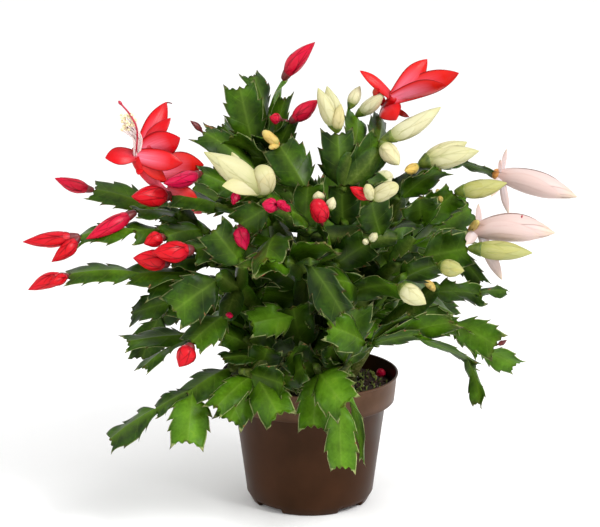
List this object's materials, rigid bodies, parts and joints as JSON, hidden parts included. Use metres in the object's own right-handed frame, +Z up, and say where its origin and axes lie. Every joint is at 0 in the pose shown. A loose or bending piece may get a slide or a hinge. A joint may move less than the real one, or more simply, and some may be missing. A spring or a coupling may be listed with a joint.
{
  "type": "potted christmas cactus",
  "caption": "Christmas cactus with toothed flat stem segments, red, cream and pale pink buds and blooms, in a plain round nursery pot with soil.",
  "frame": {"origin": "middle of the pot's flat foot, on the surface that it stands on", "axes": "+Z up; the plant's front, with the hanging segments and most blooms in view, faces -Y; the widest spread of the branches lies along X"},
  "size_m": [0.3589, 0.2877, 0.3159],
  "materials": {
    "pot_plastic": "moulded polypropylene, soft semi-gloss",
    "peat": "damp loose peat with bark and moss",
    "stem": "waxy green skin",
    "red_petal": "satin petal",
    "cream_petal": "satin petal",
    "pink_petal": "thin satin petal"
  },
  "bodies": {
    "root": {"pot": "pot_plastic", "soil": "peat", "leafy_stem_top": "stem", "leafy_stem_left_high": "stem", "leafy_stem_left": "stem", "leafy_stem_left_low": "stem", "leafy_stem_left_drop": "stem", "leafy_stem_front_left": "stem", "leafy_stem_front": "stem", "leafy_stem_front_right": "stem", "leafy_stem_right_low": "stem", "leafy_stem_right": "stem", "leafy_stem_right_high": "stem", "leafy_stem_top_right": "stem", "leafy_stem_centre": "stem", "leafy_stem_back_1": "stem", "leafy_stem_back_2": "stem", "leafy_stem_back_3": "stem", "leafy_stem_back_4": "stem", "leafy_stem_back_5": "stem", "leafy_stem_back_6": "stem", "red_bloom_left": "red_petal", "red_bloom_right": "red_petal", "pink_bloom_upper": "pink_petal", "pink_bloom_lower": "pink_petal", "cream_bloom_opening": "cream_petal", "red_bud_top": "red_petal", "red_buds_upper": "red_petal", "red_bud_far_left": "red_petal", "red_bud_left_edge": "red_petal", "red_buds_left": "red_petal", "red_buds_left_low": "red_petal", "red_bud_arm": "red_petal", "red_bud_round": "red_petal", "red_bud_twig": "red_petal", "red_bud_second": "red_petal", "red_bud_third": "red_petal", "red_bud_hanging": "red_petal", "red_bud_low": "red_petal", "magenta_buds": "red_petal", "red_bud_front": "red_petal", "red_bud_small": "red_petal", "red_bud_fallen": "red_petal", "red_bud_back_low": "red_petal", "red_buds_back_high": "red_petal", "red_buds_back_left": "red_petal", "cream_buds_upper_left": "cream_petal", "cream_buds_crown": "cream_petal", "cream_buds_crown_back": "cream_petal", "cream_buds_right_top": "cream_petal", "cream_buds_pair": "cream_petal", "cream_bud_right": "cream_petal", "cream_bud_far_right": "cream_petal", "cream_bud_right_front": "cream_petal", "cream_bud_low": "cream_petal", "cream_bud_round": "cream_petal", "cream_buds_front": "cream_petal", "cream_buds_oval": "cream_petal", "cream_buds_back_right": "cream_petal", "cream_bud_back": "cream_petal"}
  },
  "joints": []
}
